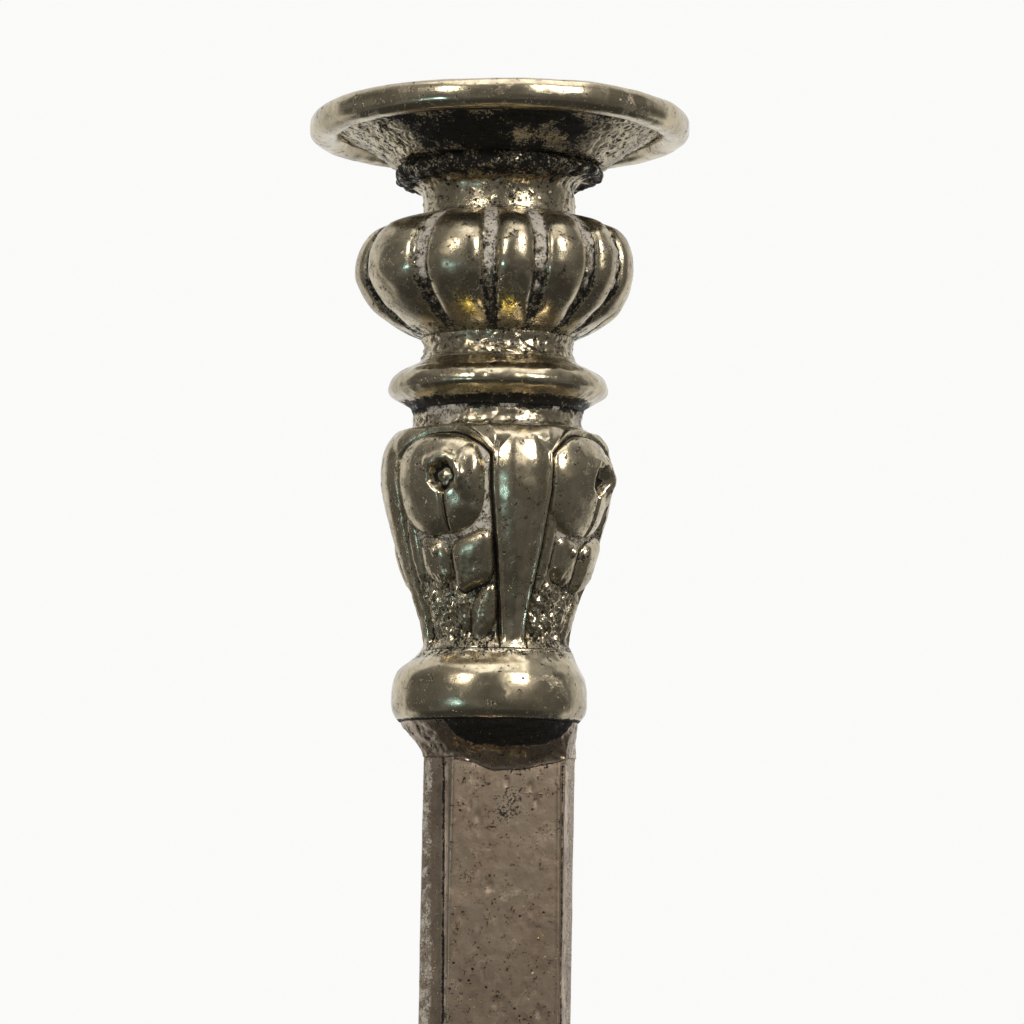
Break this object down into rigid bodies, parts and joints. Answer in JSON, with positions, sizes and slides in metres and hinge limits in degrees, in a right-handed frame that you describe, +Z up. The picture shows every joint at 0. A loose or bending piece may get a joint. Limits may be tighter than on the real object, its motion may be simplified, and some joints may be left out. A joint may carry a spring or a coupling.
{
  "type": "candlestick",
  "caption": "Table candlestick with a loose drip-pan nozzle, a lobed knop, a leafy baluster, a flattened hexagonal column and a round weighted foot.",
  "frame": {"origin": "middle of the baize under the foot, where the candlestick stands", "axes": "+Z up along the candle; -Y is the front, which the column's wide face looks towards; +X to the right"},
  "size_m": [0.118, 0.118, 0.3008],
  "materials": {
    "worn_silver": "old silver, softly polished, with fine scratches, specks and brown-grey tarnish",
    "cast_silver": "cast and chased silver, tarnished dark in the recesses, pitted, with traces of gilding",
    "column_silver": "flat hammered silver, dull brown-grey tarnish with dark pits and bright worn edges",
    "tinned_brass": "turned brass, dull, with wax stains",
    "steel": "plain drawn steel",
    "plaster": "cast plaster weight, chalky",
    "beech": "turned beech, unvarnished",
    "baize": "green wool baize, matt"
  },
  "bodies": {
    "stick": {"candle_socket": "cast_silver", "socket_liner": "tinned_brass", "lobed_knop": "cast_silver", "knop_stem": "cast_silver", "disc_moulding": "cast_silver", "shoulder_ring": "cast_silver", "baluster": "cast_silver", "upper_collar": "cast_silver", "column_head": "worn_silver", "column": "column_silver", "column_foot": "worn_silver", "lower_collar": "cast_silver", "foot_dome": "worn_silver", "foot_step": "worn_silver", "foot_border": "cast_silver", "foot_rim": "worn_silver", "weight_filling": "plaster", "closing_disc": "beech", "baize_pad": "baize", "tie_rod": "steel", "rod_washer": "steel", "rod_nut": "steel"},
    "nozzle": {"drip_pan": "worn_silver", "drip_pan_rim": "worn_silver", "nozzle_sleeve": "worn_silver"}
  },
  "joints": [
    {"name": "nozzle_lift", "type": "slide", "parent": "stick", "child": "nozzle", "axis": [0, 0, 1], "range_m": [0, 0.03]}
  ]
}
